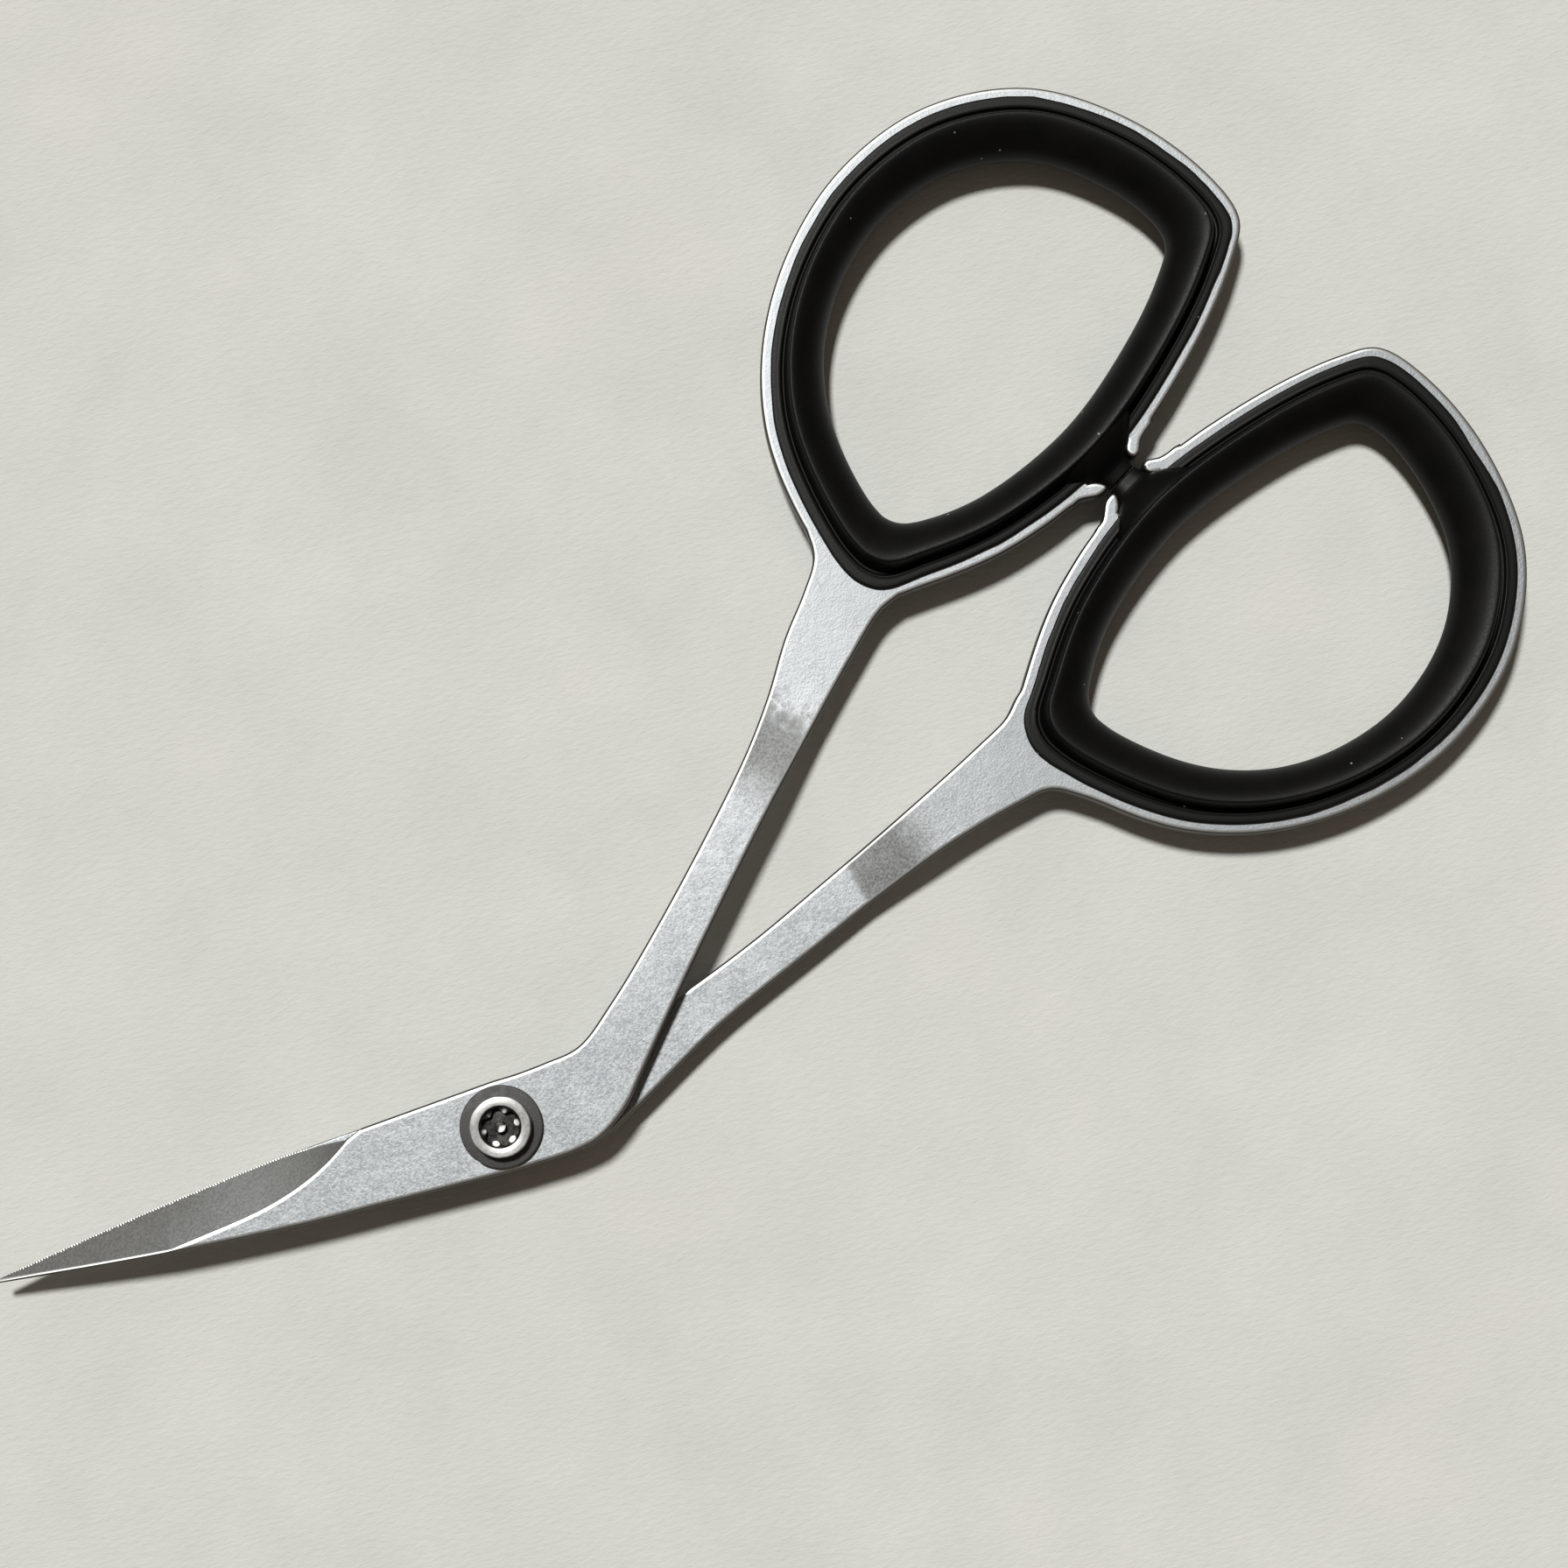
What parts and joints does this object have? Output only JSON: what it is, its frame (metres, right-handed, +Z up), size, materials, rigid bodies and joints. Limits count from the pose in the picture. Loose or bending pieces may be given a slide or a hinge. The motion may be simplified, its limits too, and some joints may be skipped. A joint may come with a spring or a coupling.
{
  "type": "goldwork scissors",
  "caption": "Small craft scissors: bent stamped steel leaves with short ground blades and a fine serration, on a screwed pivot, with soft grips moulded into open finger rings.",
  "frame": {"origin": "on the pivot axis, at the flat underside of the pivot nut, where the scissors lie on the table", "axes": "+X from the pivot along the middle line of the handles to where the finger rings meet; +Y to the upper leaf's finger ring; +Z up, out of the screw's head"},
  "size_m": [0.1085, 0.0562, 0.0054],
  "materials": {
    "blasted_steel": "bead blasted, with ground bevels and bright tumbled edges",
    "turned_steel": "turned, bright",
    "acetal": "matt, faintly mottled",
    "soft_rubber": "soft, satin, moulded"
  },
  "bodies": {
    "lower_half": {"lower_leaf": "blasted_steel", "lower_grip": "soft_rubber", "pivot_nut": "turned_steel", "nut_washer": "acetal", "head_washer": "acetal", "pivot_screw": "turned_steel"},
    "upper_half": {"upper_leaf": "blasted_steel", "upper_grip": "soft_rubber"}
  },
  "joints": [
    {"name": "blade_pivot", "type": "hinge", "parent": "lower_half", "child": "upper_half", "pos_m": [0, 0, 0.00252], "axis": [0, 0, 1], "range_deg": [0, 60]}
  ]
}
